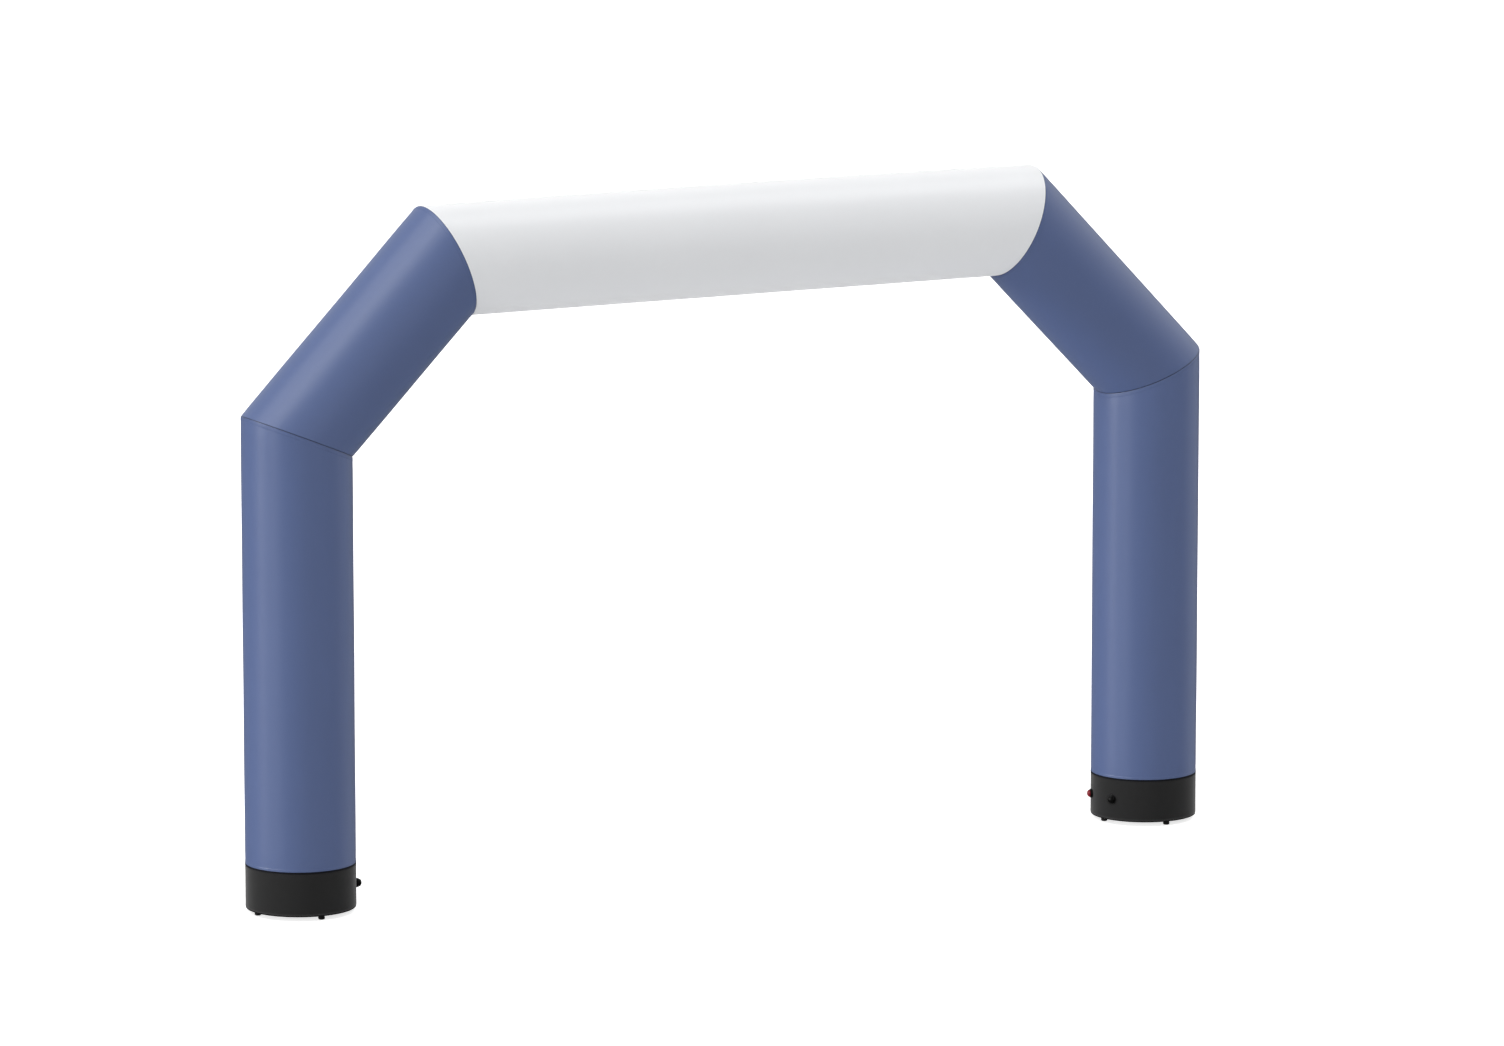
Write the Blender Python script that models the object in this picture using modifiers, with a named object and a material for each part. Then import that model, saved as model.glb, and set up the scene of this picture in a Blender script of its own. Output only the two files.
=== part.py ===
"""Inflatable arch: five taut air-filled sleeves that stand on two round bases with rubber feet.

Metres, +Z up. The origin is on the ground at the middle of the passage, +X runs along the arch
and -Y is its front.
"""

import math

import bmesh
import bpy
from mathutils import Matrix, Vector

# Driving dimensions of the air frame
TUBE_RADIUS = 0.300
LEG_SPACING = 5.340  # from one leg's axis to the other's
ELBOW_HEIGHT = 2.582  # from the base's lower rim up to where leg and shoulder axes meet
SHOULDER_RISE = 0.893  # the shoulders lean at 45 degrees, so they run inwards by as much
SEAM_ROUND = 0.004  # how far the taut cloth draws in at a seam

# Driving dimensions of the bases
BASE_HEIGHT = 0.237  # from the lower rim to the sleeve's edge
DRUM_RADIUS = 0.3015
DRUM_EDGE = 0.003
PLATE_RADIUS = 0.3000
PLATE_THICKNESS = 0.006
PLATE_EDGE = 0.002
BINDING_RADIUS = 0.3020
BINDING_WIDTH = 0.010
FOOT_RADIUS = 0.0190
FOOT_TOP_RADIUS = 0.0175
FOOT_HEIGHT = 0.0250
FOOT_EDGE = 0.005
FOOT_CIRCLE_RADIUS = 0.258  # the feet's distance from the leg's axis
FEET = {"inner": 0, "back": 90, "outer": 180, "front": 270}  # degrees about the leg's axis

# Driving dimensions of the valves on the bases' inner sides
VALVE_HEIGHT = 0.123  # above the lower rim
COLLAR_RADIUS = 0.0255
COLLAR_DEPTH = 0.0125
COLLAR_EDGE = 0.002
CAP_RADIUS = 0.0205
CAP_SKIRT = 0.003
CAP_DEPTH = 0.0160
INLET_ANGLE = 67  # degrees from the front, turning towards the passage
RELIEF_ANGLE = 107

GAP = 0.0003  # between pieces that touch
TUBE_SIDES = 72
SMALL_SIDES = 24

# Places worked out from the dimensions above
RIM_Z = FOOT_HEIGHT + GAP
LEG_X = LEG_SPACING / 2
ELBOW_Z = RIM_Z + ELBOW_HEIGHT
TOP_X = LEG_X - SHOULDER_RISE
TOP_Z = ELBOW_Z + SHOULDER_RISE
DRUM_TOP_Z = RIM_Z + BASE_HEIGHT
SIDES = {"left": -1, "right": 1}
UP = Vector((0, 0, 1))

# Colour, roughness
FINISHES = {
    "blue_cloth": ((0.120, 0.170, 0.340), 0.55),
    "white_cloth": ((0.800, 0.810, 0.830), 0.50),
    "black_drum": ((0.022, 0.022, 0.023), 0.45),
    "black_plate": ((0.010, 0.010, 0.011), 0.50),
    "black_binding": ((0.012, 0.013, 0.020), 0.60),
    "black_rubber": ((0.012, 0.012, 0.012), 0.65),
    "black_valve": ((0.010, 0.010, 0.011), 0.25),
    "red_valve": ((0.280, 0.015, 0.030), 0.25),
}


def clear_scene():
    for thing in list(bpy.data.objects):
        bpy.data.objects.remove(thing, do_unlink=True)


def make_collection(name):
    collection = bpy.data.collections.new(name)
    bpy.context.scene.collection.children.link(collection)
    return collection


def make_material(name):
    color, roughness = FINISHES[name]
    material = bpy.data.materials.new(name)
    material.use_nodes = True
    shader = material.node_tree.nodes["Principled BSDF"]
    shader.inputs["Base Color"].default_value = (*color, 1.0)
    shader.inputs["Roughness"].default_value = roughness
    shader.inputs["Metallic"].default_value = 0.0
    return material


def add_object(name, mesh, material, collection):
    mesh.shade_smooth()
    mesh.set_sharp_from_angle(angle=math.radians(30))
    mesh.materials.append(material)
    piece = bpy.data.objects.new(name, mesh)
    collection.objects.link(piece)
    return piece


def mesh_from(bm, name):
    mesh = bpy.data.meshes.new(name)
    bm.to_mesh(mesh)
    bm.free()
    return mesh


def slide_to_plane(verts, axis, point, normal):
    """Moves an end ring along the tube until it lies in the seam's plane."""
    for vert in verts:
        vert.co += axis * ((point - vert.co).dot(normal) / axis.dot(normal))


def add_sleeve(name, start, end, before, after, material, collection):
    """An inflated sleeve from start to end, mitred halfway to the directions before and after it."""
    axis = (end - start).normalized()
    turn = math.atan2(axis.x, axis.z)
    place = Matrix.Translation((start + end) / 2) @ Matrix.Rotation(turn, 4, "Y")
    bm = bmesh.new()
    bmesh.ops.create_cone(
        bm,
        cap_ends=True,
        segments=TUBE_SIDES,
        radius1=TUBE_RADIUS,
        radius2=TUBE_RADIUS,
        depth=(end - start).length,
        matrix=place,
    )
    middle = (start + end) / 2
    start_ring = [v for v in bm.verts if (v.co - middle).dot(axis) < 0]
    end_ring = [v for v in bm.verts if (v.co - middle).dot(axis) > 0]
    start_normal = (before + axis).normalized()
    end_normal = (axis + after).normalized()
    slide_to_plane(start_ring, axis, start + start_normal * GAP / 2, start_normal)
    slide_to_plane(end_ring, axis, end - end_normal * GAP / 2, end_normal)
    sleeve = add_object(name, mesh_from(bm, name), material, collection)
    bevel = sleeve.modifiers.new("seam_draw_in", "BEVEL")
    bevel.width = SEAM_ROUND
    bevel.segments = 1
    bevel.limit_method = "ANGLE"
    bevel.angle_limit = math.radians(30)
    return sleeve


def rounded_outline(corners, steps=2):
    """Points of an outline whose corners, each (radius, height, rounding), are rounded by arcs."""
    points = []
    for i, (r, z, rounding) in enumerate(corners):
        corner = Vector((r, z))
        if not rounding:
            points.append(corner)
            continue
        back = (Vector(corners[i - 1][:2]) - corner).normalized()
        ahead = (Vector(corners[i + 1][:2]) - corner).normalized()
        half = back.angle(ahead) / 2
        center = corner + (back + ahead).normalized() * rounding / math.sin(half)
        first = corner + back * rounding / math.tan(half) - center
        last = corner + ahead * rounding / math.tan(half) - center
        for step in range(steps + 1):
            points.append(center + first.slerp(last, step / steps).normalized() * rounding)
    return points


def dome_outline(radius, skirt, depth, steps=5):
    """A domed cap's outline, from its crown down to its skirt and back to the axis."""
    points = []
    for step in range(steps + 1):
        angle = math.pi / 2 * step / steps
        points.append(Vector((radius * math.sin(angle), skirt + (depth - skirt) * math.cos(angle))))
    return points + [Vector((radius, 0)), Vector((0, 0))]


def add_turned(name, outline, sides, place, material, collection, closed=False):
    """Turns an outline of (radius, height) points, outer side downwards, about local Z."""
    bm = bmesh.new()
    verts = [bm.verts.new((point.x, 0, point.y)) for point in outline]
    for first, second in zip(verts, verts[1:]):
        bm.edges.new((first, second))
    if closed:
        bm.edges.new((verts[-1], verts[0]))
    piece = add_object(name, mesh_from(bm, name), material, collection)
    piece.matrix_world = place
    screw = piece.modifiers.new("turn", "SCREW")
    screw.steps = sides
    screw.render_steps = sides
    screw.use_merge_vertices = True
    screw.merge_threshold = 0.00001
    return piece


def add_sleeves(materials, collection):
    for side, sign in SIDES.items():
        foot = Vector((sign * LEG_X, 0, DRUM_TOP_Z + GAP / 2))
        elbow = Vector((sign * LEG_X, 0, ELBOW_Z))
        corner = Vector((sign * TOP_X, 0, TOP_Z))
        lean = (corner - elbow).normalized()
        along = Vector((-sign, 0, 0))
        blue = materials["blue_cloth"]
        add_sleeve(f"leg_sleeve_{side}", foot, elbow, UP, lean, blue, collection)
        add_sleeve(f"shoulder_sleeve_{side}", elbow, corner, UP, along, blue, collection)
    left_corner = Vector((-TOP_X, 0, TOP_Z))
    right_corner = Vector((TOP_X, 0, TOP_Z))
    rising = Vector((1, 0, 1)).normalized()
    falling = Vector((1, 0, -1)).normalized()
    white = materials["white_cloth"]
    add_sleeve("top_sleeve", left_corner, right_corner, rising, falling, white, collection)


def add_base(side, sign, materials, collection):
    place = Matrix.Translation((sign * LEG_X, 0, 0))
    drum_bottom = RIM_Z + PLATE_THICKNESS + GAP
    drum = [
        (0, DRUM_TOP_Z, 0),
        (DRUM_RADIUS, DRUM_TOP_Z, DRUM_EDGE),
        (DRUM_RADIUS, drum_bottom, DRUM_EDGE),
        (0, drum_bottom, 0),
    ]
    plate = [
        (0, RIM_Z + PLATE_THICKNESS, 0),
        (PLATE_RADIUS, RIM_Z + PLATE_THICKNESS, 0),
        (PLATE_RADIUS, RIM_Z, PLATE_EDGE),
        (0, RIM_Z, 0),
    ]
    inner = TUBE_RADIUS + 1.5 * GAP
    low = DRUM_TOP_Z + 1.5 * GAP
    high = low + BINDING_WIDTH
    binding = [(inner, high), (BINDING_RADIUS, high), (BINDING_RADIUS, low), (inner, low)]
    binding = [Vector(point) for point in binding]
    for name, outline, material, closed in (
        ("base_drum", rounded_outline(drum), "black_drum", False),
        ("base_plate", rounded_outline(plate), "black_plate", False),
        ("edge_binding", binding, "black_binding", True),
    ):
        piece = f"{name}_{side}"
        add_turned(piece, outline, TUBE_SIDES, place, materials[material], collection, closed)


def add_feet(side, sign, materials, collection):
    foot = [
        (0, FOOT_HEIGHT, 0),
        (FOOT_TOP_RADIUS, FOOT_HEIGHT, 0),
        (FOOT_RADIUS, 0, FOOT_EDGE),
        (0, 0, 0),
    ]
    outline = rounded_outline(foot)
    for where, degrees in FEET.items():
        angle = math.radians(degrees)
        x = -sign * FOOT_CIRCLE_RADIUS * math.cos(angle)
        y = FOOT_CIRCLE_RADIUS * math.sin(angle)
        place = Matrix.Translation((sign * LEG_X + x, y, 0))
        name = f"foot_{side}_{where}"
        add_turned(name, outline, SMALL_SIDES, place, materials["black_rubber"], collection)


def add_valve(name, side, sign, degrees, cap_material, materials, collection):
    """A round collar on the drum's wall and the domed cap on it, turned towards the passage."""
    angle = math.radians(degrees)
    outwards = Vector((-sign * math.sin(angle), -math.cos(angle), 0))
    turn = outwards.to_track_quat("Z", "Y").to_matrix().to_4x4()
    wall = Vector((sign * LEG_X, 0, RIM_Z + VALVE_HEIGHT)) + outwards * DRUM_RADIUS
    collar = [
        (0, COLLAR_DEPTH, 0),
        (COLLAR_RADIUS, COLLAR_DEPTH, COLLAR_EDGE),
        (COLLAR_RADIUS, 0, 0),
        (0, 0, 0),
    ]
    cap = dome_outline(CAP_RADIUS, CAP_SKIRT, CAP_DEPTH)
    for part, outline, clear, material in (
        ("collar", rounded_outline(collar), GAP, "black_valve"),
        ("cap", cap, COLLAR_DEPTH + 2 * GAP, cap_material),
    ):
        place = Matrix.Translation(wall + outwards * clear) @ turn
        piece = f"{name}_{part}_{side}"
        add_turned(piece, outline, SMALL_SIDES, place, materials[material], collection)


def build():
    clear_scene()
    collection = make_collection("inflatable_arch")
    materials = {name: make_material(name) for name in FINISHES}
    add_sleeves(materials, collection)
    for side, sign in SIDES.items():
        add_base(side, sign, materials, collection)
        add_feet(side, sign, materials, collection)
        add_valve("inlet", side, sign, INLET_ANGLE, "black_valve", materials, collection)
        if side == "right":
            add_valve("relief", side, sign, RELIEF_ANGLE, "red_valve", materials, collection)


build()
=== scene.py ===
import math
import random
import bpy
import numpy as np
from mathutils import Matrix, Vector


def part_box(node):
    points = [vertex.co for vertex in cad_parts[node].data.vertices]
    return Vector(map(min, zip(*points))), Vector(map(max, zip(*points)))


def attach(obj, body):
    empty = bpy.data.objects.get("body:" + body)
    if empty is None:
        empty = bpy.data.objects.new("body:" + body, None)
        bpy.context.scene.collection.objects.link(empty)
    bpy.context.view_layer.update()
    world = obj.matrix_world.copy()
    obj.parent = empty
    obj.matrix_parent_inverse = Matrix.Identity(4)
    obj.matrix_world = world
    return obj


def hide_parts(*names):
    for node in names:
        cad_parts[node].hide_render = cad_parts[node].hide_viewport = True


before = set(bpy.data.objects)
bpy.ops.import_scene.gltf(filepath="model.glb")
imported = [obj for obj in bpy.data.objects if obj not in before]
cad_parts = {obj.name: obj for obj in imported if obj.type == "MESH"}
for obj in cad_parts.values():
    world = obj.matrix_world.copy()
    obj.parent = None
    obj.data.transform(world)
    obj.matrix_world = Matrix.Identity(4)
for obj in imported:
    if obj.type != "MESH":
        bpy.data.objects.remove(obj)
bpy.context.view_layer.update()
fullTurn = 2 * math.pi
print("frame loaded:", len(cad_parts), "nodes")


class Signal:  # one output of a finish's nodes; sums and products of it add Math nodes
    def __init__(self, finish, socket):
        self.finish = finish
        self.socket = socket

    def maths(self, operation, *values):
        inputs = dict(enumerate(values))
        return self.finish.node("ShaderNodeMath", {"operation": operation}, inputs)

    def sine(self):
        return self.maths("SINE", self)

    def __add__(self, other):
        return self.maths("ADD", self, other)

    def __sub__(self, other):
        return self.maths("SUBTRACT", self, other)

    def __rsub__(self, other):
        return self.maths("SUBTRACT", other, self)

    def __mul__(self, other):
        return self.maths("MULTIPLY", self, other)

    __radd__ = __add__
    __rmul__ = __mul__


class Finish:  # a node tree in the making
    def __init__(self, tree):
        self.tree = tree

    def node(self, kind, settings=None, inputs=None, output=0):
        made = self.tree.nodes.new(kind)
        for key, value in (settings or {}).items():
            if key == "stops":
                self.setStops(made.color_ramp, value)
            else:
                setattr(made, key, value)
        for key, value in (inputs or {}).items():
            self.feed(made.inputs[key], value)
        return Signal(self, made.outputs[output])

    def setStops(self, ramp, stops):
        while len(ramp.elements) < len(stops):
            ramp.elements.new(1)
        for element, (place, grey) in zip(ramp.elements, stops):
            element.position = place
            element.color = (grey, grey, grey, 1)

    def feed(self, socket, value):
        if isinstance(value, Signal):
            self.tree.links.new(value.socket, socket)
        else:
            socket.default_value = value

    def mix(self, factor, first, second):
        inputs = {0: factor, 6: first, 7: second}
        return self.node("ShaderNodeMix", {"data_type": "RGBA"}, inputs, 2)

    def where(self):
        return self.node("ShaderNodeTexCoord", output=3)  # the piece's own metres

    def axes(self):
        inputs = {0: self.where()}
        return [self.node("ShaderNodeSeparateXYZ", None, inputs, out) for out in range(3)]

    def aroundTube(self):  # metres round the tube, from its outer side
        x, y, _ = self.axes()
        return self.node("ShaderNodeMath", {"operation": "ARCTAN2"}, {0: y, 1: x}) * tubeRadius

    def ripples(self, run, pitch):  # even waves along a length
        return (run * (fullTurn / pitch)).sine()

    def noise(self, scale, detail=3, roughness=0.5):
        inputs = {"Vector": self.where(), "Scale": scale, "Detail": detail}
        return self.node("ShaderNodeTexNoise", None, {**inputs, "Roughness": roughness})

    def bump(self, height, distance, under=None):
        inputs = {"Height": height, "Distance": distance, "Strength": 1}
        if under is not None:
            inputs["Normal"] = under
        return self.node("ShaderNodeBump", None, inputs)


def newFinish(name):
    material = bpy.data.materials.new(name)
    material.use_nodes = True
    return Finish(material.node_tree), material


def dress(finish, values):  # what the Principled shader gets: plain values, or signals
    shader = finish.tree.nodes["Principled BSDF"]
    for key, value in values.items():
        finish.feed(shader.inputs[key], value)


def tint(colour, share):
    return tuple(part * share for part in colour) + (1,)


cloth = {  # coated cloth, blue and white
    "blue": (0.0712, 0.1100, 0.2500),
    "white": (0.775, 0.788, 0.807),
    "roughness": 0.36,
    "roughnessPlay": 0.04,
    "tonePlay": 0.035,  # share of the colour that comes and goes
    "slowTone": 1.7,  # patches per metre
    "fineTone": 38,
    "fineShare": 0.3,
    "yarnPitch": 0.0011,
    "yarnDepth": 0.00001,
    "rippleSize": 6,  # per metre
    "rippleDepth": 0.00018,
    "sheenRoughness": 0.5,
}


def clothFinish(name, colour, lightPlay, seamPaintedLight, shine, sheen):
    finish, material = newFinish(name)
    warp = finish.ripples(finish.aroundTube(), cloth["yarnPitch"])
    weft = finish.ripples(finish.axes()[2], cloth["yarnPitch"])
    slow = finish.noise(cloth["slowTone"], 2, 0.4)
    fine = finish.noise(cloth["fineTone"], 4, 0.6)
    tone = slow * (1 - cloth["fineShare"]) + fine * cloth["fineShare"]
    dark = tint(colour, 1 - cloth["tonePlay"])
    light = tint(colour, 1 + cloth["tonePlay"] * lightPlay)
    # each seam's share of painted light: the blue is painted darker there (painted shade), the white paler
    # (painted highlight)
    crease = finish.node("ShaderNodeAttribute", {"attribute_name": "crease"}, output=2)
    ripple = finish.bump(finish.noise(cloth["rippleSize"], 2, 0.4), cloth["rippleDepth"])
    weave = finish.bump(warp * weft, cloth["yarnDepth"], ripple)
    dress(finish, {
        "Base Color": finish.mix(crease, finish.mix(tone, dark, light), tint(colour, seamPaintedLight)),
        "Roughness": (fine - 0.5) * cloth["roughnessPlay"] * 2 + cloth["roughness"],
        "Specular IOR Level": shine,
        "Sheen Weight": sheen,
        "Sheen Roughness": cloth["sheenRoughness"],
        "Normal": weave,
    })
    return material


thread = {"strandPitch": 0.0012, "strandDepth": 0.00012, "dark": 0.8, "light": 1.05, "fuzz": 400}


def threadFinish(name, colour):
    finish, material = newFinish(name)
    x, y, z = finish.axes()
    strands = finish.ripples(x + y + z, thread["strandPitch"]) * 0.5 + 0.5
    dress(finish, {
        "Base Color": finish.mix(strands, tint(colour, thread["dark"]), tint(colour, thread["light"])),
        "Roughness": finish.noise(thread["fuzz"]) * 0.2 + 0.45,
        "Normal": finish.bump(strands, thread["strandDepth"]),
    })
    return material


moulded = {  # colour, roughness and its play, shine, sheen, grain per metre, grain depth, painted highlight on the lower rim
    "drumBlack": ((0.0135, 0.0135, 0.0137), 0.88, 0.10, 0.25, 0.32, 900, 0.00006, 0.8),
    "plateBlack": ((0.0025, 0.0025, 0.0025), 0.80, 0.10, 0.15, 0, 700, 0.00005, 0),
    "rubberBlack": ((0.005, 0.005, 0.005), 0.62, 0.12, 0.30, 0, 1400, 0.00004, 0),
    "valveBlack": ((0.0018, 0.0018, 0.0018), 0.30, 0.08, 0.12, 0, 1600, 0.00001, 0),
    "valveRed": ((0.235, 0.012, 0.023), 0.24, 0.06, 0.3, 0, 1200, 0.00001, 0),
}
wearAndRimHighlight = {  # how the moulded colours age, and the painted highlight on the drum's lower rim
    "cloudSize": 9,  # clouds per metre
    "cloudStops": ((0.5, 0), (0.78, 1)),
    "cloudShare": 0.5,
    "cloudPale": 1.3,
    # how much paler the drum's lower rim is painted: a painted highlight
    "rimHighlightPale": 3.2,
    "sheenRoughness": 0.38,
}


def mouldedFinish(name):
    colour, roughness, play, shine, sheen, grain, depth, rimHighlight = moulded[name]
    finish, material = newFinish(name)
    cells = {"Vector": finish.where(), "Scale": grain}
    pebbles = finish.node("ShaderNodeTexVoronoi", {"feature": "SMOOTH_F1"}, cells)
    cloudy = finish.noise(wearAndRimHighlight["cloudSize"], 5, 0.65)
    worn = finish.node("ShaderNodeValToRGB", {"stops": wearAndRimHighlight["cloudStops"]}, {0: cloudy})
    body = finish.mix(worn * wearAndRimHighlight["cloudShare"], tint(colour, 1), tint(colour, wearAndRimHighlight["cloudPale"]))
    # a pale band painted along the lower rim, a painted highlight broken up by the clouds
    if rimHighlight:
        edge = finish.node("ShaderNodeAttribute", {"attribute_name": "rubbed"}, output=2)
        body = finish.mix(edge * (cloudy * 0.5 + 0.5) * rimHighlight, body, tint(colour, wearAndRimHighlight["rimHighlightPale"]))
    dress(finish, {
        "Base Color": body,
        "Roughness": (cloudy - 0.5) * play * 2 + roughness,
        "Specular IOR Level": shine,
        "Sheen Weight": sheen,
        "Sheen Roughness": wearAndRimHighlight["sheenRoughness"],
        "Normal": finish.bump(pebbles, depth),
    })
    return material


webbing = {  # narrow dark webbing, ribbed across
    "dark": (0.001, 0.0015, 0.004),
    "light": (0.003, 0.004, 0.010),
    "ribPitch": 0.0016,
    "rowPitch": 0.0012,
    "depth": 0.00015,
    "fuzz": 300,
    "shine": 0.2,
}


def webbingFinish(name):
    finish, material = newFinish(name)
    ribs = finish.ripples(finish.aroundTube(), webbing["ribPitch"])
    rows = finish.ripples(finish.axes()[2], webbing["rowPitch"])
    dress(finish, {
        "Base Color": finish.mix(ribs * 0.5 + 0.5, tint(webbing["dark"], 1), tint(webbing["light"], 1)),
        "Roughness": finish.noise(webbing["fuzz"]) * 0.2 + 0.6,
        "Specular IOR Level": webbing["shine"],
        "Normal": finish.bump(ribs * rows, webbing["depth"]),
    })
    return material


def newPiece(name, points, faces, material, node=None, place=None):
    mesh = bpy.data.meshes.new(name)
    mesh.from_pydata(points, [], faces)
    mesh.materials.append(material)
    mesh.polygons.foreach_set("use_smooth", [True] * len(mesh.polygons))
    mesh.validate()
    piece = bpy.data.objects.new(name, mesh)
    bpy.context.scene.collection.objects.link(piece)
    if place:
        piece.matrix_world = place
    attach(piece, "root")
    if node:
        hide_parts(node)
    return piece


def smoothStep(values, low, high):
    share = np.clip((values - low) / (high - low), 0, 1)
    return share * share * (3 - 2 * share)


# The path of the tube's middle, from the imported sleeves
shoulderRise = 0.893
low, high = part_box("leg_sleeve_right")
tubeRadius = (high.x - low.x) / 2
legX = (high.x + low.x) / 2
sleeveFoot = low.z
low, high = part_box("top_sleeve")
topZ = (high.z + low.z) / 2
elbowZ = topZ - shoulderRise
topX = legX - shoulderRise
corners = [Vector((-legX, 0, sleeveFoot)), Vector((-legX, 0, elbowZ)), Vector((-topX, 0, topZ))]
corners += [Vector((topX, 0, topZ)), Vector((legX, 0, elbowZ)), Vector((legX, 0, sleeveFoot))]
mitre = math.tan(math.radians(45) / 2)

# along their seams the blue is painted darker, a painted shade, and the white paler, a painted highlight
blueCloth = clothFinish("blueCloth", cloth["blue"], 1, seamPaintedLight=0.15, shine=0.75, sheen=0)
whiteCloth = clothFinish("whiteCloth", cloth["white"], 1 / 3, seamPaintedLight=1.16, shine=0.5, sheen=1)
blueThread = threadFinish("blueThread", cloth["blue"])
whiteThread = threadFinish("whiteThread", cloth["white"])
darkWebbing = webbingFinish("darkWebbing")
finishes = {name: mouldedFinish(name) for name in moulded}
print("finishes made")


sewing = {  # how the sleeves are sewn
    "gap": 0.00015,  # half the slit left between two sleeves
    "columns": 320,
    "nearRings": (0, 0.2, 0.5, 0.9, 1.4, 2, 2.7, 3.5, 4.4, 5.4, 6.6, 8, 10, 12, 14, 16, 18, 19.6, 20.5, 21.3,
                  22.1, 24, 27, 32, 39, 48, 60, 76, 96, 120),  # mm from the seam
    "farRing": 0.028,  # spacing over the middle
    "bandFrom": 0.0044,
    "bandTo": 0.0213,
    "bandRise": 0.0007,
    "bandEdge": 0.0009,
    "backHalf": 0.0075,  # half the back seam's width
    "backInset": 0.009,  # where the back seam stops short of an end
    "gather": 0.00022,  # the cloth's play beside a seam
    "gatherReach": 0.055,
    "gatherFrom": 0.012,
    "gatherWaves": 7,
    "gatherSum": 2.2,  # brings the waves' sum back to about one
    "sway": 0.0005,  # the long soft play of the full cloth
    "swayFrom": (0.01, 0.25),
    "swayWaves": 6,
    "swaySum": 3,
    "roundness": 0.98,  # of the turned-in edge
}
ends = {  # how far the cloth turns in at an end, how deep, and how far the painted light beside its seam spreads: painted shade on the blue, painted highlight on the white
    "foot": {"reach": 0.004, "depth": 0.0012, "paintedLightReach": 0.0028, "felled": True},
    "elbowLow": {"reach": 0.0035, "depth": 0.0035, "paintedLightReach": 0.0034, "felled": True},
    "elbowHigh": {"reach": 0.0044, "depth": 0.0042, "paintedLightReach": 0.0034, "felled": False},
    "topLow": {"reach": 0.0035, "depth": 0.0028, "paintedLightReach": 0.0040, "felled": True},
    "topHigh": {"reach": 0.0020, "depth": 0.0006, "paintedLightReach": 0.0070, "felled": False},
}


def tubeFaces(rings, around):  # four-sided faces between rings of points
    column = np.arange(around)
    following = (column + 1) % around
    faces = []
    for low in range(0, (rings - 1) * around, around):
        high = low + around
        faces += np.stack([low + column, low + following, high + following, high + column], 1).tolist()
    return faces


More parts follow.
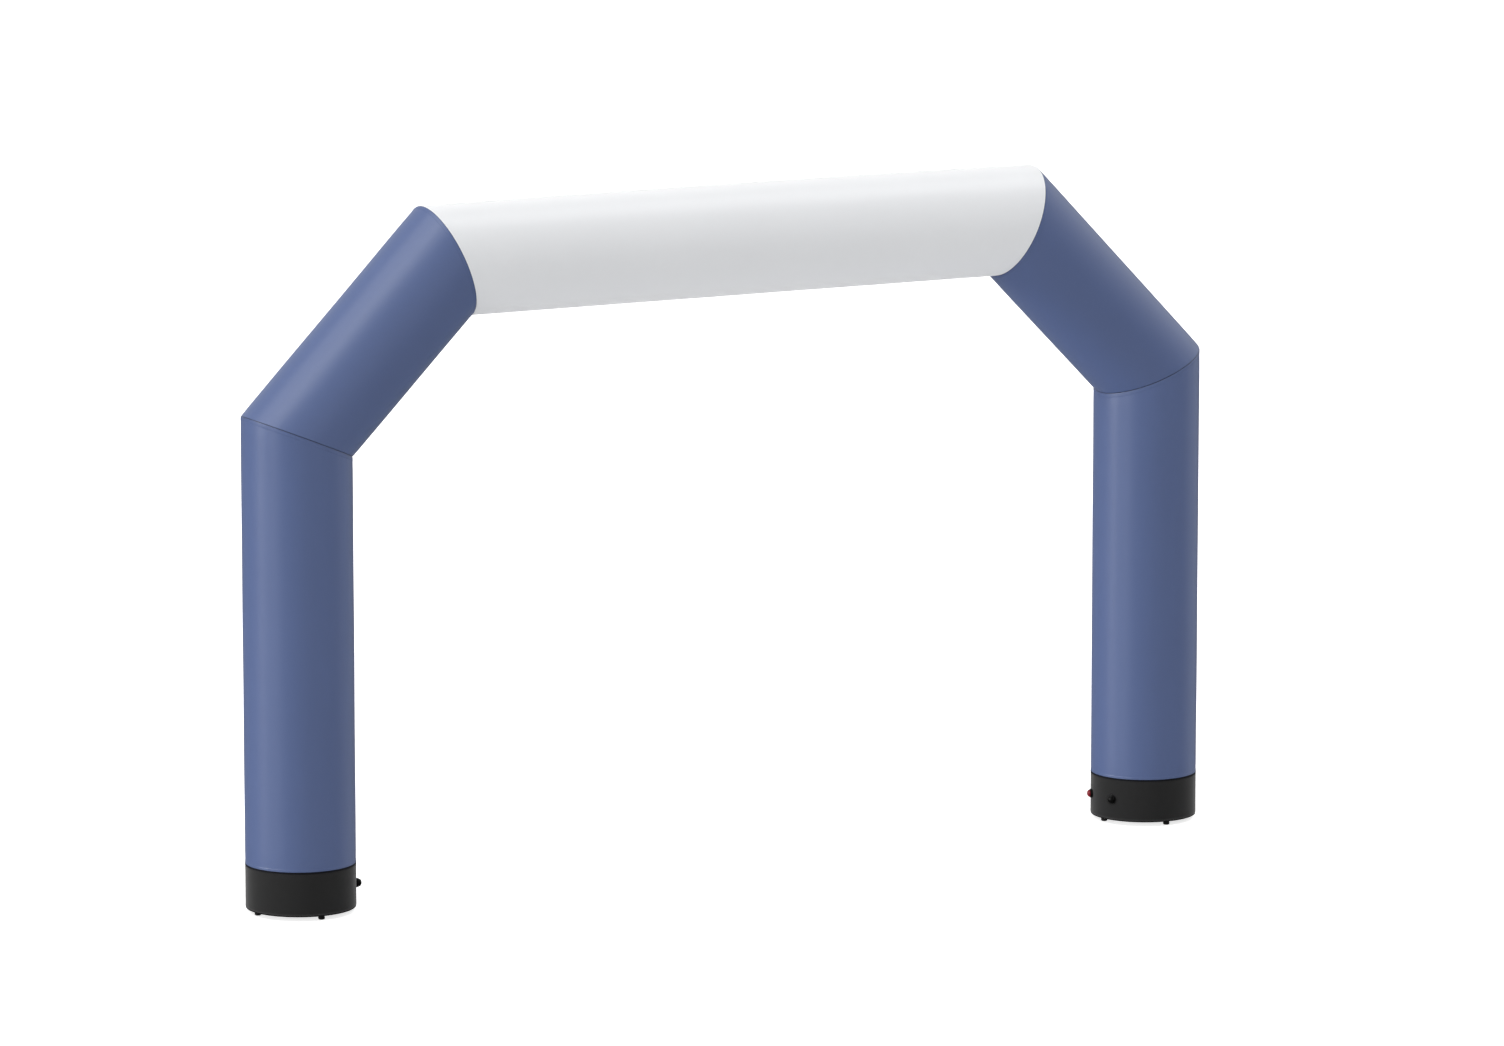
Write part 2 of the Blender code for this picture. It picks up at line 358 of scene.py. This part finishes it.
class Sleeve:  # one taut tube of cloth between two cuts
    def __init__(self, start, end, cuts, kinds, crown, seed):
        along = (end - start).normalized()
        self.length = (end - start).length
        across = Vector((0, 1, 0)).cross(along)
        turn = Matrix((across, Vector((0, 1, 0)), along)).transposed().to_4x4()
        self.place = Matrix.Translation(start) @ turn
        self.cuts = cuts  # the slope of each end's cut, 0 where it is square
        self.ends = [ends[kind] for kind in kinds]
        self.crown = crown  # how full the outer side is cut at the start, in the middle and at the end
        self.swelling = None
        draw = random.Random(seed)
        self.gathers = [[(draw.randint(20, 52), draw.uniform(0, 6.28), draw.uniform(0.4, 1))
                         for _ in range(sewing["gatherWaves"])] for _ in kinds]
        self.sways = [(draw.randint(1, 4), draw.uniform(2, 9), draw.uniform(0, 6.28))
                      for _ in range(sewing["swayWaves"])]

    def fullness(self, angle, share):  # how far the blown-up cloth stands outside the plain tube
        start, middle, end = self.crown
        outer = start * (1 - share) + end * share + middle * 4 * share * (1 - share)
        full = outer * (0.5 - 0.5 * np.cos(angle)) ** 2
        if self.swelling is None:
            return full
        rings, columns = self.swelling.shape
        row = np.clip(share, 0, 1) * (rings - 1)
        column = np.mod(angle / fullTurn, 1) * columns
        low, left = np.minimum(row.astype(int), rings - 2), column.astype(int) % columns
        up, right = row - low, column - column.astype(int)
        after = (left + 1) % columns
        below = self.swelling[low, left] * (1 - right) + self.swelling[low, after] * right
        above = self.swelling[low + 1, left] * (1 - right) + self.swelling[low + 1, after] * right
        return full + below * (1 - up) + above * up

    def tuck(self, end, inset):  # how far the cloth turns in at a seam
        share = np.clip(1 - inset / self.ends[end]["reach"], 0, 1)
        return self.ends[end]["depth"] * (1 - np.sqrt(1 - share ** 2 * sewing["roundness"]))

    def raised(self, angle, insets, height):  # all the cloth's relief over the plain tube
        arc = (angle - math.pi / 2) * tubeRadius
        half, edge = sewing["backHalf"], sewing["bandEdge"]
        relief = sewing["bandRise"] * (1 - smoothStep(np.abs(arc), half, half + edge))
        for end, inset in enumerate(insets):
            relief = relief - self.tuck(end, inset)
            if self.ends[end]["felled"]:
                band = smoothStep(inset, sewing["bandFrom"] - edge, sewing["bandFrom"])
                band = band - smoothStep(inset, sewing["bandTo"], sewing["bandTo"] + edge)
                relief = relief + sewing["bandRise"] * band
            fade = np.exp(-inset / sewing["gatherReach"]) * smoothStep(inset, 0, sewing["gatherFrom"])
            waves = sum(size * np.sin(count * angle + shift) for count, shift, size in self.gathers[end])
            relief = relief + sewing["gather"] * fade * waves / sewing["gatherSum"]
        ease = smoothStep(np.minimum(insets[0], insets[1]), *sewing["swayFrom"])
        sway = sum(np.sin(count * angle + pitch * height + shift) for count, pitch, shift in self.sways)
        return relief + sewing["sway"] * ease * sway / sewing["swaySum"]

    def endHeight(self, end, angle, radius, inset):  # height of the points that far from an end
        slope = self.cuts[end]
        fall = slope * radius * np.cos(angle)
        step = inset * np.sqrt(1 + (slope * np.sin(angle)) ** 2)
        margin = sewing["gap"] * math.sqrt(1 + slope * slope) if slope else 0
        return fall + margin + step if end == 0 else self.length - fall - margin - step

    def ring(self, end, angle, inset):  # a ring of points at one distance from an end's seam
        inset = np.full_like(angle, inset)
        share = inset / self.length
        full = tubeRadius + self.fullness(angle, share if end == 0 else 1 - share)
        height = self.endHeight(end, angle, full - self.tuck(end, inset), inset)
        other = np.full_like(angle, 1.0)  # a metre off, out of the other seam's reach
        insets = (inset, other) if end == 0 else (other, inset)
        radius = full + self.raised(angle, insets, height)
        if inset[0] == 0:
            height = self.endHeight(end, angle, radius, inset)  # exactly on the cut
        return self.points(angle, radius, height)

    def level(self, angle, height):  # a ring of points between the ends
        cuts = [self.endHeight(end, angle, tubeRadius, 0 * angle) for end in range(2)]
        insets = [np.abs(height - cut) / np.sqrt(1 + (self.cuts[end] * np.sin(angle)) ** 2)
                  for end, cut in enumerate(cuts)]
        full = tubeRadius + self.fullness(angle, (height - cuts[0]) / (cuts[1] - cuts[0]))
        return self.points(angle, full + self.raised(angle, insets, height), height)

    def points(self, angle, radius, height):
        return np.stack([radius * np.cos(angle), radius * np.sin(angle), height], 1)

    def columns(self):
        around = np.arange(sewing["columns"]) * fullTurn / sewing["columns"]
        half, edge = sewing["backHalf"], sewing["bandEdge"]
        back = [half + 3 * edge, half + edge, half + 0.6 * edge, half + 0.3 * edge, half, half / 2, 0]
        arcs = np.array([-arc for arc in back] + back[-2::-1])
        keep = np.abs(around - math.pi / 2) * tubeRadius > half + 5 * edge  # room for the back seam
        return np.sort(np.concatenate([around[keep], math.pi / 2 + arcs / tubeRadius]))

    def build(self, name, material, slot, node):
        angle = self.columns()
        near = [mm / 1000 for mm in sewing["nearRings"]]
        rings = [self.ring(0, angle, inset) for inset in near]
        # each near ring's share of the seam's painted light: painted shade on blue, painted highlight on
        # white
        seamPaintedLightShares = [[max(0, 1 - inset / end["paintedLightReach"]) for inset in near] for end in self.ends]
        first = self.endHeight(0, angle, tubeRadius, 0 * angle + near[-1])
        last = self.endHeight(1, angle, tubeRadius, 0 * angle + near[-1])
        count = round((last - first).mean() / sewing["farRing"])
        for step in range(1, count):
            rings.append(self.level(angle, first + (last - first) * step / count))
        rings += [self.ring(1, angle, inset) for inset in reversed(near)]
        tips = [[0, 0, ring[:, 2].mean()] for ring in (rings[0], rings[-1])]
        points = np.concatenate(rings + [tips])
        around = len(angle)
        faces = tubeFaces(len(rings), around)
        column = np.arange(around)
        following = (column + 1) % around
        tip, last = 0 * column + len(points) - 2, (len(rings) - 1) * around
        faces += np.stack([following, column, tip], 1).tolist()
        faces += np.stack([last + column, last + following, tip + 1], 1).tolist()
        piece = newPiece(name, points.tolist(), faces, material, node, self.place)
        middle = [0] * (len(rings) - 2 * len(near))
        # kept on the points for the finish to paint the seams' painted shade and painted highlight
        crease = np.repeat(seamPaintedLightShares[0] + middle + seamPaintedLightShares[1][::-1], around).tolist() + [1, 1]
        piece.data.attributes.new("crease", "FLOAT", "POINT").data.foreach_set("value", crease)
        return piece

    def world(self, points):
        turn = np.array(self.place.to_3x3())
        return points @ turn.T + np.array(self.place.translation)

    def seamLine(self, end, inset):  # a fine line round the tube beside a seam, and its outward way
        angle = np.linspace(0, fullTurn, 1441)
        return self.world(self.ring(end, angle, inset)), self.outward(angle)

    def backLine(self, arc):  # a fine line along the back seam, and its outward way
        angle = np.full(900, math.pi / 2 + arc / tubeRadius)
        inset = np.array([sewing["backInset"]])
        low, high = [self.endHeight(end, angle[:1], tubeRadius, inset)[0] for end in range(2)]
        height = np.linspace(low, high, len(angle))
        return self.world(self.level(angle, height)), self.outward(angle)

    def outward(self, angle):
        turn = np.array(self.place.to_3x3())
        return np.stack([np.cos(angle), np.sin(angle), 0 * angle], 1) @ turn.T


crown = {  # how much fuller than the plain tube the outer side is cut
    "elbow": 0.0005,
    "topSeam": 0.0105,
    "topMiddle": 0.006,  # more than at its seams
}
legCrown = (0, 0, crown["elbow"])
shoulderCrown = (crown["elbow"], 0, crown["topSeam"])
topCrown = (crown["topSeam"], crown["topMiddle"], crown["topSeam"])
sleeves = {
    "leftLeg": Sleeve(*corners[0:2], (0, mitre), ("foot", "elbowLow"), legCrown, 3),
    "leftShoulder": Sleeve(*corners[1:3], (mitre, mitre), ("elbowHigh", "topLow"), shoulderCrown, 5),
    "top": Sleeve(*corners[2:4], (mitre, mitre), ("topHigh", "topHigh"), topCrown, 7),
    "rightShoulder": Sleeve(*corners[3:5], (mitre, mitre), ("topLow", "elbowHigh"), shoulderCrown[::-1], 11),
    "rightLeg": Sleeve(*corners[4:6], (mitre, 0), ("elbowLow", "foot"), legCrown[::-1], 13),
}

filling = {  # the air's push on the cloth, worked out on one coarse tube sewn from all five sleeves
    "columns": 48,
    "ringStep": 0.07,
    "pressure": 14,
    "stiffness": 80,
    "bending": 5,
    "frames": 20,
    "cap": 0.004,  # the furthest that the cloth may move out or in
}


def coarseTube():  # rings of points along the whole path, and how many steps each sleeve has
    angle = np.arange(filling["columns"]) * fullTurn / filling["columns"]
    rings, steps = [], []
    for sleeve in sleeves.values():
        count = round(sleeve.length / filling["ringStep"])
        first = sleeve.endHeight(0, angle, tubeRadius, 0 * angle)
        last = sleeve.endHeight(1, angle, tubeRadius, 0 * angle)
        for step in range(1 if rings else 0, count + 1):
            height = first + (last - first) * step / count
            rings.append(sleeve.world(sleeve.points(angle, tubeRadius, height)))
        steps.append(count)
    return rings, steps


def blowUp():  # runs the cloth under pressure and gives each sleeve its swelling
    scene = bpy.context.scene
    columns = filling["columns"]
    rings, steps = coarseTube()
    mesh = bpy.data.meshes.new("fillingCloth")
    mesh.from_pydata(np.concatenate(rings).tolist(), [], tubeFaces(len(rings), columns))
    tube = bpy.data.objects.new("fillingCloth", mesh)
    scene.collection.objects.link(tube)
    sewn = tube.vertex_groups.new(name="sewn")
    seams = [sum(steps[:count]) for count in range(len(steps) + 1)]
    for ring in seams:
        sewn.add([ring * columns + k for k in range(columns)], 1, "REPLACE")
    modifier = tube.modifiers.new("air", "CLOTH")
    settings = modifier.settings
    settings.vertex_group_mass = "sewn"
    settings.use_pressure = True
    settings.uniform_pressure_force = filling["pressure"]
    settings.effector_weights.gravity = 0
    settings.tension_stiffness = filling["stiffness"]
    settings.compression_stiffness = filling["stiffness"]
    settings.shear_stiffness = filling["stiffness"]
    settings.bending_stiffness = filling["bending"]
    modifier.point_cache.frame_end = filling["frames"]
    for number in range(1, filling["frames"] + 1):
        scene.frame_set(number)
    blown = tube.evaluated_get(bpy.context.evaluated_depsgraph_get())
    after = np.empty(len(mesh.vertices) * 3)
    blown.data.vertices.foreach_get("co", after)
    moved = after.reshape(len(rings), columns, 3) - np.array(rings)
    angle = np.arange(columns) * fullTurn / columns
    for sleeve, first, last in zip(sleeves.values(), seams, seams[1:]):
        outward = (moved[first:last + 1] * sleeve.outward(angle)).sum(2)
        sleeve.swelling = np.clip(outward, -filling["cap"], filling["cap"]).round(5)
        print("blown up by", round(float(sleeve.swelling.max()) * 1000, 2), "mm")
    bpy.data.objects.remove(tube, do_unlink=True)
    bpy.data.meshes.remove(mesh)
    scene.frame_set(1)


blowUp()
for name, piece, material, slot, node in (
    ("leftLeg", "leg_cloth_left", blueCloth, "blue_cloth", "leg_sleeve_left"),
    ("leftShoulder", "shoulder_cloth_left", blueCloth, "blue_cloth", "shoulder_sleeve_left"),
    ("top", "top_cloth", whiteCloth, "white_cloth", "top_sleeve"),
    ("rightShoulder", "shoulder_cloth_right", blueCloth, "blue_cloth", "shoulder_sleeve_right"),
    ("rightLeg", "leg_cloth_right", blueCloth, "blue_cloth", "leg_sleeve_right"),
):
    sleeves[name].build(piece, material, slot, node)
print("sleeves sewn")


stitches = {
    "rows": (0.0075, 0.0185),  # from the seam
    "backRows": (-0.7, 0.7),  # shares of the back seam's half width
    "pitch": 0.0075,
    "length": 0.0048,
    "thickness": 0.0009,
    "sides": 5,
    "rings": ((-0.86, 0.62), (-0.45, 1), (0.45, 1), (0.86, 0.62)),  # shares of half the length and width
    "lift": 0.55,  # how far the middle arches over the cloth, in half thicknesses
    "dip": 0.3,  # how far the ends go into it
    "aim": 0.002,  # how far ahead and behind its line is looked at
}


def stitchShape():  # one stitch along x, its middle at the origin
    half, thick, sides = stitches["length"] / 2, stitches["thickness"] / 2, stitches["sides"]
    points = [(-half, 0, -thick * stitches["dip"])]
    for x, width in stitches["rings"]:
        radius, lift = thick * width, thick * stitches["lift"] * (1 - x * x)
        for side in range(sides):
            turn = fullTurn * side / sides
            points.append((x * half, radius * math.sin(turn), lift + radius * math.cos(turn)))
    points.append((half, 0, -thick * stitches["dip"]))
    tip = len(points) - 1
    faces = [(0, 1 + side, 1 + (side + 1) % sides) for side in range(sides)]
    for low in range(1, tip - sides, sides):
        for side in range(sides):
            a, b = low + side, low + (side + 1) % sides
            faces.append((a, a + sides, b + sides, b))
    faces += [(tip, tip - sides + (side + 1) % sides, tip - sides + side) for side in range(sides)]
    return np.array(points), faces


def along(run, line, place):  # the line's point that far along it
    return np.array([np.interp(place, run, line[:, k]) for k in range(3)])


def stitch(name, lines, material):
    shape, shapeFaces = stitchShape()
    points, faces = [], []
    for line, outward in lines:
        steps = np.linalg.norm(np.diff(line, axis=0), axis=1)
        run = np.concatenate([[0], np.cumsum(steps)])
        count = int(run[-1] / stitches["pitch"])
        for place in (np.arange(count) + 0.5) * run[-1] / count:
            middle = along(run, line, place)
            up = along(run, outward, place)
            forward = along(run, line, place + stitches["aim"]) - along(run, line, place - stitches["aim"])
            forward /= np.linalg.norm(forward)
            up = up - forward * up.dot(forward)
            up /= np.linalg.norm(up)
            turn = np.stack([forward, np.cross(up, forward), up], 1)
            base = len(points) * len(shape)
            points.append(shape @ turn.T + middle)
            faces += [tuple(base + corner for corner in face) for face in shapeFaces]
    return newPiece(name, np.concatenate(points).tolist(), faces, material)


rows = stitches["rows"]
backRows = [share * sewing["backHalf"] for share in stitches["backRows"]]
for side, leg, shoulder, upper in (
    ("left", sleeves["leftLeg"], sleeves["leftShoulder"], 1),
    ("right", sleeves["rightLeg"], sleeves["rightShoulder"], 0),
):
    seam = [leg.seamLine(upper, row) for row in rows]
    stitch(f"elbow_stitches_{side}", seam, blueThread)
    seam = [shoulder.seamLine(upper, row) for row in rows]
    stitch(f"shoulder_stitches_{side}", seam, blueThread)
    seam = [leg.seamLine(1 - upper, rows[1])]
    stitch(f"hem_stitches_{side}", seam, blueThread)
    seam = [sleeve.backLine(arc) for sleeve in (leg, shoulder) for arc in backRows]
    stitch(f"back_stitches_{side}", seam, blueThread)
seam = [sleeves["top"].backLine(arc) for arc in backRows]
stitch("back_stitches_top", seam, whiteThread)
print("seams stitched")


def turned(name, outline, sides, material, node, place, shape=None):
    # a closed outline of (radius, height) turned about the local Z; its ends may sit on the axis
    points, faces, rings = [], [], []
    for radius, height in outline:
        if radius == 0:
            rings.append([len(points)])
            points.append((0, 0, height))
            continue
        ring = []
        for side in range(sides):
            angle = fullTurn * side / sides
            here = radius + (shape(angle, radius, height) if shape else 0)
            ring.append(len(points))
            points.append((here * math.cos(angle), here * math.sin(angle), height))
        rings.append(ring)
    if len(rings[0]) > 1:
        rings.append(rings[0])  # a ring with a hole closes on itself
    for low, high in zip(rings, rings[1:]):
        for side in range(sides):
            after = (side + 1) % sides
            if len(low) == 1:
                faces.append((low[0], high[after], high[side]))
            elif len(high) == 1:
                faces.append((low[side], low[after], high[0]))
            else:
                faces.append((low[side], low[after], high[after], high[side]))
    return newPiece(name, points, faces, material, node, place)


def softened(outline, steps=5):
    # the outline of (radius, height, rounding) with its corners rounded
    soft = []
    for index, (radius, height, rounding) in enumerate(outline):
        here = Vector((radius, height))
        if not rounding:
            soft.append((radius, height))
            continue
        before = (Vector(outline[index - 1][:2]) - here).normalized()
        after = (Vector(outline[(index + 1) % len(outline)][:2]) - here).normalized()
        opening = before.angle(after)
        reach = rounding / math.tan(opening / 2)
        centre = here + (before + after).normalized() * rounding / math.sin(opening / 2)
        first = here + before * reach - centre
        last = here + after * reach - centre
        for step in range(steps + 1):
            spoke = first.lerp(last, step / steps).normalized() * rounding
            soft.append(tuple(centre + spoke))
    return soft


base = {  # the drum, its plate and the webbing over the sleeve's edge
    "sides": 256,
    "drumEdge": 0.003,
    "drumBelt": 0.012,  # how far from its edges the drum's plain wall starts
    "plateEdge": 0.002,
    "grooveDepth": 0.0012,  # a shallow groove turned in the plate's underside
    "groove": (0.020, 0.017, 0.006, 0.004),  # its four corners, from the plate's edge
    "webbingEdge": 0.0007,
    # height and spread of the painted highlight round the drum's lower rim
    "rimHighlightHeight": 0.003,
    "rimHighlightReach": 0.006,
}
fit = 0.0003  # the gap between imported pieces


def paintRimHighlight(piece, height, reach):  # a painted highlight: how strongly a pale band is painted round the drum near its lower rim
    rubbed = [max(0, 1 - abs(point.co.z - height) / reach) for point in piece.data.vertices]
    piece.data.attributes.new("rubbed", "FLOAT", "POINT").data.foreach_set("value", rubbed)


def span(node):  # a turned node's radius, bottom and top
    low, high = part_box(node)
    return (high.x - low.x) / 2, low.z, high.z


for side, sign in (("left", -1), ("right", 1)):
    axis = Matrix.Translation((sign * legX, 0, 0))
    radius, bottom, top = span(f"base_drum_{side}")
    edge, belt = base["drumEdge"], base["drumBelt"]
    wall = [(0, bottom, 0), (radius, bottom, edge), (radius, bottom + belt, 0), (radius, top - belt, 0),
            (radius, top, edge), (0, top, 0)]
    drum = turned(f"drum_shell_{side}", softened(wall), base["sides"], finishes["drumBlack"],
                  f"base_drum_{side}", axis)
    # the drum's lower rim gets a painted highlight
    paintRimHighlight(drum, bottom + base["rimHighlightHeight"], base["rimHighlightReach"])
    radius, bottom, top = span(f"base_plate_{side}")
    edge, depth = base["plateEdge"], base["grooveDepth"]
    rises = (0, depth, depth, 0)
    groove = [(radius - inset, bottom + rise, 0) for inset, rise in zip(base["groove"], rises)]
    disc = [(0, bottom, 0), *groove, (radius, bottom, edge), (radius, top, edge / 2), (0, top, 0)]
    turned(f"drum_plate_{side}", softened(disc), base["sides"], finishes["plateBlack"],
           f"base_plate_{side}", axis)
    radius, bottom, top = span(f"edge_binding_{side}")
    edge, inner = base["webbingEdge"], tubeRadius + fit
    band = [(inner, bottom, 0), (radius, bottom, edge), (radius, top, edge), (inner, top, 0)]
    turned(f"edge_webbing_{side}", softened(band), base["sides"], darkWebbing,
           f"edge_binding_{side}", axis)
print("bases built")


foot = {  # heights from the ground, and how its outline steps in
    "sides": 48,
    "hollow": 0.0022,
    "hollowRadius": (0.0045, 0.0052),
    "soleTaper": 0.001,
    "soleEdge": 0.0065,
    "widest": 0.012,
    "shoulder": 0.0150,
    "neck": 0.0180,
    "collar": 0.0200,
    "topTaper": 0.0015,
    "lip": 0.0011,
}


def footOutline(radius, height):
    topRadius, hollow = radius - foot["topTaper"], foot["hollow"]
    return softened([
        (0, hollow, 0), (foot["hollowRadius"][0], hollow, 0), (foot["hollowRadius"][1], 0, 0),
        (radius - foot["soleTaper"], 0, foot["soleEdge"]), (radius, foot["widest"], 0.002),
        (topRadius, foot["shoulder"], 0.002), (topRadius - foot["lip"], foot["neck"], 0.001),
        (topRadius, foot["collar"], 0.001), (topRadius, height, 0.0008), (0, height, 0),
    ])


for side in ("left", "right"):
    for where in ("inner", "back", "outer", "front"):
        node = f"foot_{side}_{where}"
        low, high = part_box(node)
        place = Matrix.Translation(((low.x + high.x) / 2, (low.y + high.y) / 2, 0))
        outline = footOutline((high.x - low.x) / 2, high.z)
        turned(f"foot_rubber_{side}_{where}", outline, foot["sides"], finishes["rubberBlack"],
               node, place)
print("feet fitted")


valve = {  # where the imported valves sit, and how their pieces are moulded
    "angles": {"inlet": 67, "relief": 107},  # degrees from the front, turning towards the passage
    "wall": 0.3015,
    "height": 0.1483,
    "collarRadius": 0.0255,
    "collarDepth": 0.0125,
    "grooveDepth": 0.0014,
    "groove": (0.0032, 0.0042, 0.0050, 0.0060),  # from the drum's wall
    "collarTop": (0.0035, 0.0008),  # how far the front edge is cut back, and how deep
    "capRadius": 0.0205,
    "capDepth": 0.016,
    "capSkirt": 0.003,
    "capEdge": 0.0008,
    "capSteps": 16,
    "ribs": 24,
    "ribDepth": 0.0007,
    "ribsFrom": 0.0055,
    "sides": 96,
}


def collarOutline():
    radius, depth = valve["collarRadius"], valve["collarDepth"]
    inner, cut = radius - valve["grooveDepth"], valve["collarTop"]
    first, second, third, fourth = valve["groove"]
    return softened([
        (0, 0, 0), (radius, 0, 0.0006), (radius, first, 0.0008), (inner, second, 0.0005),
        (inner, third, 0.0005), (radius, fourth, 0.0008), (radius, depth - cut[1], 0.0026),
        (radius - cut[0], depth, 0.0006), (0, depth, 0),
    ], 4)


def capOutline():
    radius, depth, skirt = valve["capRadius"], valve["capDepth"], valve["capSkirt"]
    edge, steps = valve["capEdge"], valve["capSteps"]
    outline = [(0, 0), (radius - edge, 0), (radius, edge), (radius, skirt)]
    for step in range(1, steps):
        turn = math.pi / 2 * step / steps
        outline.append((radius * math.cos(turn), skirt + (depth - skirt) * math.sin(turn)))
    return outline + [(0, depth)]


def collarRibs(angle, radius, height):  # grip ribs on the collar's rim only
    if height <= valve["ribsFrom"] or radius <= valve["collarRadius"] - 0.001:
        return 0
    return -valve["ribDepth"] * (0.5 - 0.5 * math.cos(valve["ribs"] * angle))


for name, side, sign, capFinish, capSlot in (
    ("inlet", "left", -1, "valveBlack", "black_valve"),
    ("inlet", "right", 1, "valveBlack", "black_valve"),
    ("relief", "right", 1, "valveRed", "red_valve"),
):
    angle = math.radians(valve["angles"][name])
    outward = Vector((-sign * math.sin(angle), -math.cos(angle), 0))
    wall = Vector((sign * legX, 0, valve["height"])) + outward * (valve["wall"] + fit)
    turn = outward.to_track_quat("Z", "Y").to_matrix().to_4x4()
    place = Matrix.Translation(wall) @ turn
    turned(f"{name}_flange_{side}", collarOutline(), valve["sides"], finishes["valveBlack"],
           f"{name}_collar_{side}", place, collarRibs)
    place = Matrix.Translation(wall + outward * (valve["collarDepth"] + fit)) @ turn
    turned(f"{name}_dome_{side}", capOutline(), valve["sides"], finishes[capFinish],
           f"{name}_cap_{side}", place)
print("valves fitted")


shot = {
    "place": (-21.5055, -39.9030, 9.5470),
    "aim": (0.11841, 0, 1.91194),
    "lens": 198.25,  # mm, with the sensor
    "sensor": 36,
    "near": 0.5,
    "far": 900,
    "bearing": -28.454,  # degrees round from the front to where the camera stands
}
lens = bpy.data.cameras.new("camera")
camera = bpy.data.objects.new("camera", lens)
bpy.context.scene.collection.objects.link(camera)
camera.location = shot["place"]
camera.rotation_euler = (Vector(shot["aim"]) - camera.location).to_track_quat("-Z", "Y").to_euler()
lens.sensor_width = shot["sensor"]
lens.lens = shot["lens"]
lens.clip_start = shot["near"]
lens.clip_end = shot["far"]
bpy.context.scene.camera = camera
bpy.context.scene.view_settings.view_transform = "Standard"

suns = {  # degrees round from the camera, degrees up, strength, width in degrees
    "key": (-76, 8, 1.10, 15),
    "keySpill": (-45, 8, 0.46, 15),
    "overLeft": (-72, 58, 0.61, 45),
    "overFront": (-30, 58, 0.245, 30),
    "overRight": (120, 58, 0.511, 30),
    "rim": (120, 8, 0.217, 55),
    "overhead": (0, 82, 0.32, 40),
    "behind": (180, 38, 0.15, 30),
}
for name, (swing, up, strength, width) in suns.items():
    bearing, tilt = math.radians(shot["bearing"] + swing), math.radians(up)
    level = Vector((math.sin(bearing), -math.cos(bearing), 0))
    towards = level * math.cos(tilt) + Vector((0, 0, math.sin(tilt)))
    light = bpy.data.lights.new(name, "SUN")
    light.energy = strength
    light.angle = math.radians(width)
    lamp = bpy.data.objects.new(name, light)
    lamp.rotation_euler = towards.to_track_quat("Z", "Y").to_euler()
    bpy.context.scene.collection.objects.link(lamp)

surroundings = {"above": 0.58, "below": 0.249, "seen": 1.0}  # how bright, and as the camera sees them
world = bpy.data.worlds.new("studio")
world.use_nodes = True
bpy.context.scene.world = world
room = Finish(world.node_tree)
upwards = room.node("ShaderNodeSeparateXYZ", None, {0: room.node("ShaderNodeTexCoord", output=0)}, 2)
sky = upwards.maths("GREATER_THAN", upwards, 0) * (surroundings["above"] - surroundings["below"])
sky = sky + surroundings["below"]
seen = room.node("ShaderNodeLightPath", output=0)
glow = sky * (1 - seen) + seen * surroundings["seen"]
backdrop = world.node_tree.nodes["Background"]
room.feed(backdrop.inputs["Color"], (1, 1, 1, 1))
room.feed(backdrop.inputs["Strength"], glow)

ground = {
    "grey": 0.8,
    "sides": 96,
    "seenReach": 400,
    "seenGlow": 0.75,
    "bounceReach": 60,
    "bounceDrop": 0.0005,
}


def floorPlane(name, reach, glow):
    mesh = bpy.data.meshes.new(name)
    sides = ground["sides"]
    turns = [fullTurn * side / sides for side in range(sides)]
    points = [(reach * math.cos(turn), reach * math.sin(turn), 0) for turn in turns]
    mesh.from_pydata(points, [], [tuple(range(sides))])
    plane = bpy.data.objects.new(name, mesh)
    bpy.context.scene.collection.objects.link(plane)
    finish, material = newFinish(name)
    dress(finish, {
        "Base Color": tint((ground["grey"],) * 3, 1),
        "Roughness": 1,
        "Specular IOR Level": 0,
        "Emission Color": (1, 1, 1, 1),
        "Emission Strength": glow,
    })
    mesh.materials.append(material)
    plane.visible_glossy = False
    return plane


floorSeen = floorPlane("floor", ground["seenReach"], ground["seenGlow"])
floorSeen.visible_diffuse = False
floorSeen.visible_shadow = False
floorBounce = floorPlane("floor_bounce", ground["bounceReach"], 0)  # only lights the object from below
floorBounce.location.z = -ground["bounceDrop"]
floorBounce.visible_camera = False
print("studio set")
